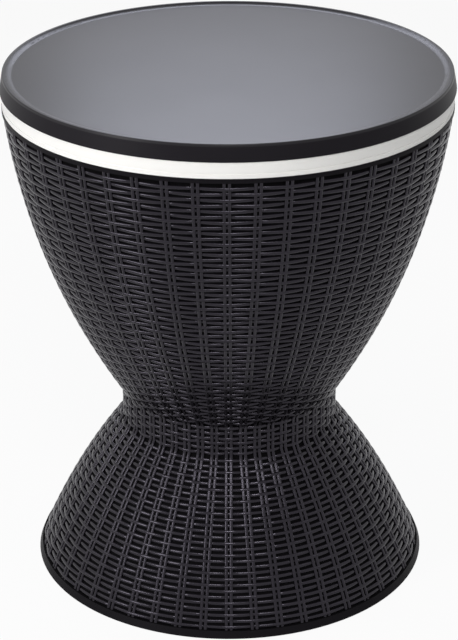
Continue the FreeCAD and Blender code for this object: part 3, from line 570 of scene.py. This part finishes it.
def trace(name, points):
    """Outline drawn by extruding a point from place to place."""
    piece = start_from_point(name, points[0])
    for start, end in zip(points, points[1:]):
        step = Vector(end) - Vector(start)
        bpy.ops.mesh.extrude_region_move(TRANSFORM_OT_translate={"value": step})
    return piece


def spin_closed(steps):
    """Spins the outline that is in edit mode once about the upright axis, and closes the seam."""
    bpy.ops.mesh.select_all(action="SELECT")
    bpy.ops.mesh.spin(steps=steps, angle=2 * math.pi, center=(0, 0, 0), axis=(0, 0, 1))
    bpy.ops.mesh.select_all(action="SELECT")
    bpy.ops.mesh.remove_doubles(threshold=0.01 * MM)
    bpy.ops.mesh.normals_make_consistent(inside=False)
    bpy.ops.object.mode_set(mode="OBJECT")


# %% [markdown]
# The strands run around the stand, over one pair of stakes and under the next, and the next
# row does the opposite. All of them start as one ring with a D-shaped section. It is spun
# about the axis with eight steps for each pair of stakes, which is what the wave needs.

# %% Ring for the strands
SAMPLES_PER_PAIR = 8
RING_RADIUS = 2.0
HALF_SECTION = ((1.0, 0.25), (0.85, 0.7), (0.52, 0.95), (0.0, 1.0))
SECTION = [(out, -up) for out, up in reversed(HALF_SECTION)] + list(HALF_SECTION)


def make_ring():
    """Ring with a D-shaped section of unit size, the pattern for all strands."""
    points = [(RING_RADIUS + out, 0.0, up) for out, up in SECTION]
    ring = trace("strand", points + [points[0]])
    spin_closed(SAMPLES_PER_PAIR * STAKE_PAIRS)
    return ring


def places_of(ring):
    """Each vertex's pair, its share of the way to the next pair, and its place in the section."""
    shape = np.empty(len(ring.data.vertices) * 3)
    ring.data.vertices.foreach_get("co", shape)
    shape = shape.reshape(-1, 3)
    turn = np.arctan2(shape[:, 1], shape[:, 0]) / PAIR_PITCH
    pair = np.round(turn)
    out = np.hypot(shape[:, 0], shape[:, 1]) - RING_RADIUS
    return pair.astype(int), turn - pair, out, shape[:, 2]


# %% [markdown]
# Each row gets a copy of the ring. Its points are set to the row's radius and lean, and moved
# in and out, square to the wall, by a wave. No operator makes that wave, so a formula does:
# level over one pair of stakes, down between the pairs, and deepest behind the next.

# %% One strand
STRAND_HALF_HEIGHT = 2.2 * MM
STRAND_THICKNESS = 2.3 * MM
STRAND_DROP = 1.5 * MM
STRAND_UNDER = 2.4 * MM
STAKE_EDGE = 4.6 * MM


def make_strand(ring, places, wall, height, odd):
    """Copy of the ring as the strand at a height."""
    pair, share, out, up = places
    radius = wall.radius(height)
    lean = wall.lean(height)
    half = PAIR_PITCH * radius / 2
    crest = PAIR_SPREAD / 2
    marks = (0.0, 1 / SAMPLES_PER_PAIR, 2 / SAMPLES_PER_PAIR, 0.5)
    away = np.interp(np.abs(share), marks, (0.0, crest, STAKE_EDGE, half))
    over = np.interp(away, (STAKE_EDGE, half), (0.0, STRAND_DROP / 2))
    under = np.interp(away, (crest, STAKE_EDGE, half), (STRAND_UNDER, STRAND_DROP, STRAND_DROP / 2))
    inward = np.where((pair + odd) % 2 == 0, over, under) + STRAND_THICKNESS * (1.0 - out)
    turn = FIRST_PAIR_TURN - math.pi / 2 + pair * PAIR_PITCH + np.sign(share) * away / radius
    lift = STRAND_HALF_HEIGHT * up
    reach = radius - inward * math.cos(lean) + lift * math.sin(lean)
    level = height + inward * math.sin(lean) + lift * math.cos(lean)
    strand = ring.copy()
    strand.data = ring.data.copy()
    bpy.context.collection.objects.link(strand)
    shape = np.stack([reach * np.cos(turn), reach * np.sin(turn), level], 1)
    strand.data.vertices.foreach_set("co", shape.ravel())
    return strand


# %% [markdown]
# Rows lie at equal steps along the wall, not at equal heights, so that the weave is as close
# at the spreading foot as at the waist. The bowl's rows are two pieces, so that no piece has
# too many faces.

# %% Rows of strands
ROW_PITCH = 6.57 * MM
FIRST_ROW = 3.4 * MM


def make_strands(node, stretch, wall, heights, first):
    """Strands of one stretch of wall, each row the opposite of the last."""
    name = f"{node}_strands{stretch}"
    ring = make_ring()
    places = places_of(ring)
    rows = []
    for index, height in enumerate(heights):
        row = make_strand(ring, places, wall, height, (first + index) % 2)
        if abs(height - DRAIN_LEVEL) < DRAIN_CUT_RADIUS:
            cut_for_drain(row)
        rows.append(row)
    bpy.data.objects.remove(ring)
    piece = join(name, rows)
    finish_weave(piece, node)
    print(name, len(heights), "strands", len(piece.data.polygons), "faces")


base_rows = BASE_WALL.heights(FOOT_BAND_TOP, WAIST, ROW_PITCH, FIRST_ROW)
bowl_rows = BOWL_WALL.heights(WAIST, RIM_BAND_FOOT, ROW_PITCH, FIRST_ROW)
half_way = len(bowl_rows) // 2
make_strands("base_weave", "", BASE_WALL, base_rows, 0)
make_strands("bowl_weave", "_lower", BOWL_WALL, bowl_rows[:half_way], len(base_rows))
make_strands("bowl_weave", "_upper", BOWL_WALL, bowl_rows[half_way:], len(base_rows) + half_way)

# %% [markdown]
# The photograph is a cut-out on white. A white floor and a bright world would light the dark
# resin from all sides and turn it grey, so the floor only looks white where it is seen. It
# keeps a little of its own shading, and with it the table's shadow.

# %% Floor
FLOOR_SIZE = 8.0
FLOOR_WHITENESS = 0.93


def make_floor():
    bpy.ops.object.select_all(action="DESELECT")
    bpy.ops.mesh.primitive_plane_add(size=FLOOR_SIZE, location=(0.0, 0.0, 0.0))
    floor = bpy.context.object
    floor.name = "floor"
    finish = Finish("floor_paper", Roughness=0.9, Base_Color=grey(0.8))
    seen = finish.seen_directly()
    white = finish.node("ShaderNodeEmission", None, {"Color": grey(1.0)})
    lit = Signal(finish, finish.shader.outputs[0])
    share = FLOOR_WHITENESS * seen
    paper = finish.node("ShaderNodeMixShader", None, {0: share, 1: lit, 2: white})
    finish.tree.links.new(paper.socket, finish.tree.nodes["Material Output"].inputs["Surface"])
    floor.data.materials.append(finish.material)
    print("floor", FLOOR_SIZE, "metres across")


make_floor()

# %% [markdown]
# The world does the same: white where it is seen or mirrored, and a dim light otherwise.

# %% World
WORLD_STRENGTH = 0.15


def make_world():
    """White where it is seen, and a dim light otherwise."""
    world = bpy.data.worlds.new("studio")
    bpy.context.scene.world = world
    world.use_nodes = True
    tree = world.node_tree
    tree.nodes.clear()
    path = tree.nodes.new("ShaderNodeLightPath")
    light = tree.nodes.new("ShaderNodeBackground")
    light.inputs["Strength"].default_value = WORLD_STRENGTH
    for kind in ("Camera", "Glossy", "Transmission"):
        white = tree.nodes.new("ShaderNodeBackground")
        mix = tree.nodes.new("ShaderNodeMixShader")
        tree.links.new(path.outputs[f"Is {kind} Ray"], mix.inputs[0])
        tree.links.new(light.outputs[0], mix.inputs[1])
        tree.links.new(white.outputs[0], mix.inputs[2])
        white.inputs["Color"].default_value = grey(1.0)
        light = mix
    out = tree.nodes.new("ShaderNodeOutputWorld")
    tree.links.new(light.outputs[0], out.inputs[0])
    print("world at", WORLD_STRENGTH)


make_world()

# %% [markdown]
# Five soft lamps light the table. The key stands at the left in front and gives the glints
# on the strands. A large lamp above the camera lights the front, one behind lights the tray,
# and two faint ones lift the sides. Small lamps would give hard sparks on the resin, and the
# photograph's glints are soft.

# %% Lamps
WAIST_AIM = (0.0, 0.0, 0.3)
FRONT_AIM = (0.0, 0.0, 0.35)
TRAY_AIM = (0.0, 0.0, 0.55)
COOL_WHITE = (0.92, 0.95, 1.12)


def add_softbox(name, place, aim, size, power, colour=(1.0, 1.0, 1.0)):
    """Rectangular lamp that looks at a point."""
    data = bpy.data.lights.new(name, "AREA")
    data.shape = "RECTANGLE"
    data.size, data.size_y = size
    data.energy = power
    data.color = colour
    lamp = bpy.data.objects.new(name, data)
    bpy.context.collection.objects.link(lamp)
    lamp.location = place
    way = Vector(aim) - Vector(place)
    lamp.rotation_euler = way.to_track_quat("-Z", "Y").to_euler()
    print(name, power, "watts")


add_softbox("key_left", (-1.75, -1.35, 1.15), WAIST_AIM, size=(0.65, 1.0), power=24.4)
add_softbox("side_left", (-2.1, -0.2, 1.2), WAIST_AIM, size=(0.6, 0.9), power=4.0)
add_softbox("front_top", (0.1, -2.2, 2.3), FRONT_AIM, size=(0.8, 0.6), power=36.0)
add_softbox("fill_right", (1.9, -0.9, 1.6), WAIST_AIM, size=(0.4, 0.6), power=1.5)
add_softbox("top_back", (0.0, 1.25, 1.3), TRAY_AIM, size=(0.55, 0.3), power=4.6, colour=COOL_WHITE)
